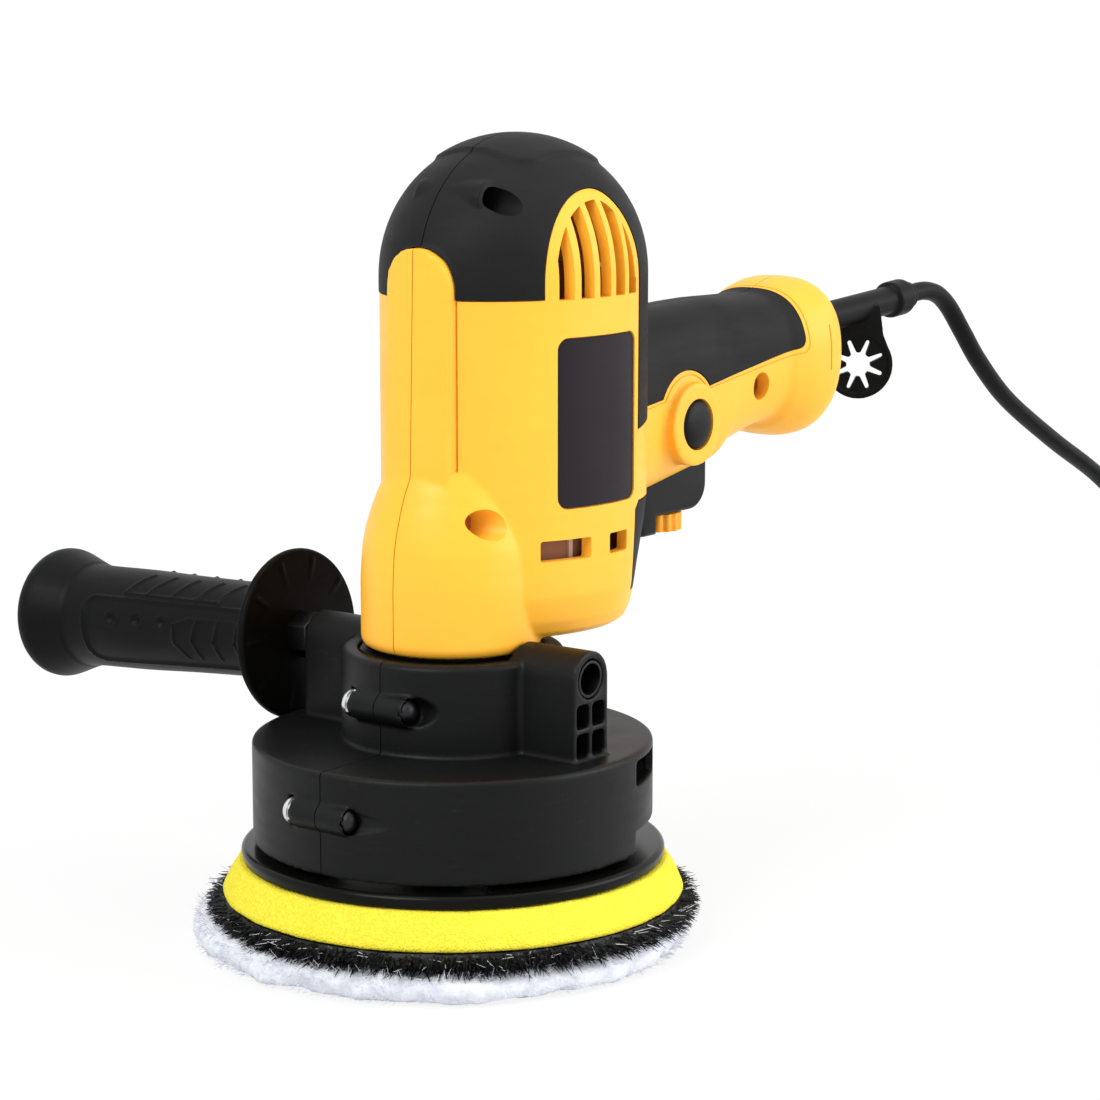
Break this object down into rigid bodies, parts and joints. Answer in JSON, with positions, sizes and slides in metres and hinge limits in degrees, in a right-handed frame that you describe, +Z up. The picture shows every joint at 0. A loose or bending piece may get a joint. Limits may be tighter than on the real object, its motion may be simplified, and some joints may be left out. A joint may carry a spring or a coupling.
{
  "type": "rotary polisher",
  "caption": "Corded rotary polisher with an upright motor, rear pistol grip, side handle, guarded foam and wool pad, trigger, speed dial and lock button.",
  "frame": {"origin": "centre of the pad's working face, on the spindle axis", "axes": "+Z up along the spindle, +X towards the grip and the cord, +Y towards the side handle"},
  "size_m": [0.6333, 0.2569, 0.2163],
  "materials": {
    "yellow_plastic": "moulded, satin",
    "soft_black": "soft overmould, matte",
    "black_plastic": "fine grain",
    "gloss_black": "smooth",
    "label_grey": "smooth and bare",
    "orange_plastic": "moulded",
    "rubber": "matte",
    "steel": "machined",
    "bright_steel": "bright",
    "aluminium": "cast",
    "bronze": "sintered",
    "copper": "copper",
    "carbon": "pressed carbon",
    "foam": "open foam",
    "hook_fibre": "short fibres",
    "wool": "wool pile"
  },
  "bodies": {
    "housing": {"housing_right": "yellow_plastic", "housing_left": "yellow_plastic", "overmould_right": "soft_black", "overmould_left": "soft_black", "tail_pad_right": "soft_black", "tail_pad_left": "soft_black", "shroud_right": "black_plastic", "shroud_left": "black_plastic", "switch_body": "black_plastic", "handle_guard": "black_plastic", "label_plate": "label_grey", "strain_relief": "rubber", "power_cord": "rubber", "cord_coil": "rubber", "cord_tie": "rubber", "plug": "rubber", "handle_grip": "rubber", "housing_screw_top": "steel", "housing_screw_nose": "steel", "housing_screw_grip": "steel", "handle_stud": "steel", "handle_insert_right": "steel", "handle_insert_left": "steel", "stator_core": "steel", "clamp_screw_front_drum": "bright_steel", "clamp_screw_front_collar": "bright_steel", "clamp_screw_rear_drum": "bright_steel", "clamp_screw_rear_collar": "bright_steel", "clamp_nut_front_drum": "bright_steel", "clamp_nut_front_collar": "bright_steel", "clamp_nut_rear_drum": "bright_steel", "clamp_nut_rear_collar": "bright_steel", "spindle_bearing": "bright_steel", "motor_bearing_lower": "bright_steel", "motor_bearing_upper": "bright_steel", "gear_case": "aluminium", "bearing_plate": "aluminium", "spindle_bush": "bronze", "brush_holder_right": "bronze", "brush_holder_left": "bronze", "field_coil_front": "copper", "field_coil_rear": "copper", "carbon_brush_right": "carbon", "carbon_brush_left": "carbon"},
    "trigger": {"trigger": "black_plastic"},
    "speed_dial": {"speed_dial": "orange_plastic"},
    "lock_button": {"lock_button": "black_plastic"},
    "spindle": {"spindle": "steel", "spindle_gear": "steel", "backing_plate": "gloss_black", "foam_pad": "foam", "hook_ring": "hook_fibre", "wool_pad": "wool", "pad_bolt": "steel"},
    "idler": {"idler_gear": "steel"},
    "armature": {"armature_shaft": "steel", "armature_core": "steel", "commutator": "copper", "fan": "black_plastic"}
  },
  "joints": [
    {"name": "trigger_slide", "type": "slide", "parent": "housing", "child": "trigger", "axis": [0, 0, 1], "range_m": [0, 0.007], "stiffness_N_per_m": 500, "springref_m": -0.004},
    {"name": "speed_dial_turn", "type": "hinge", "parent": "trigger", "child": "speed_dial", "pos_m": [0.0933, 0, 0.1056], "axis": [0, 0, 1], "range_deg": [0, 300]},
    {"name": "lock_button_press", "type": "slide", "parent": "housing", "child": "lock_button", "axis": [0, 1, 0], "range_m": [0, 0.003], "stiffness_N_per_m": 400, "springref_m": -0.002},
    {"name": "spindle_spin", "type": "hinge", "parent": "housing", "child": "spindle", "pos_m": [0, 0, 0], "axis": [0, 0, 1], "continuous": true},
    {"name": "idler_spin", "type": "hinge", "parent": "housing", "child": "idler", "pos_m": [0.0183, 0.01309, 0], "axis": [0, 0, 1], "continuous": true},
    {"name": "armature_spin", "type": "hinge", "parent": "housing", "child": "armature", "pos_m": [0.0275, 0, 0], "axis": [0, 0, 1], "continuous": true}
  ],
  "couplings": [
    {"joint": "idler_spin", "follows": "spindle_spin", "ratio": -4},
    {"joint": "armature_spin", "follows": "spindle_spin", "ratio": 12}
  ]
}
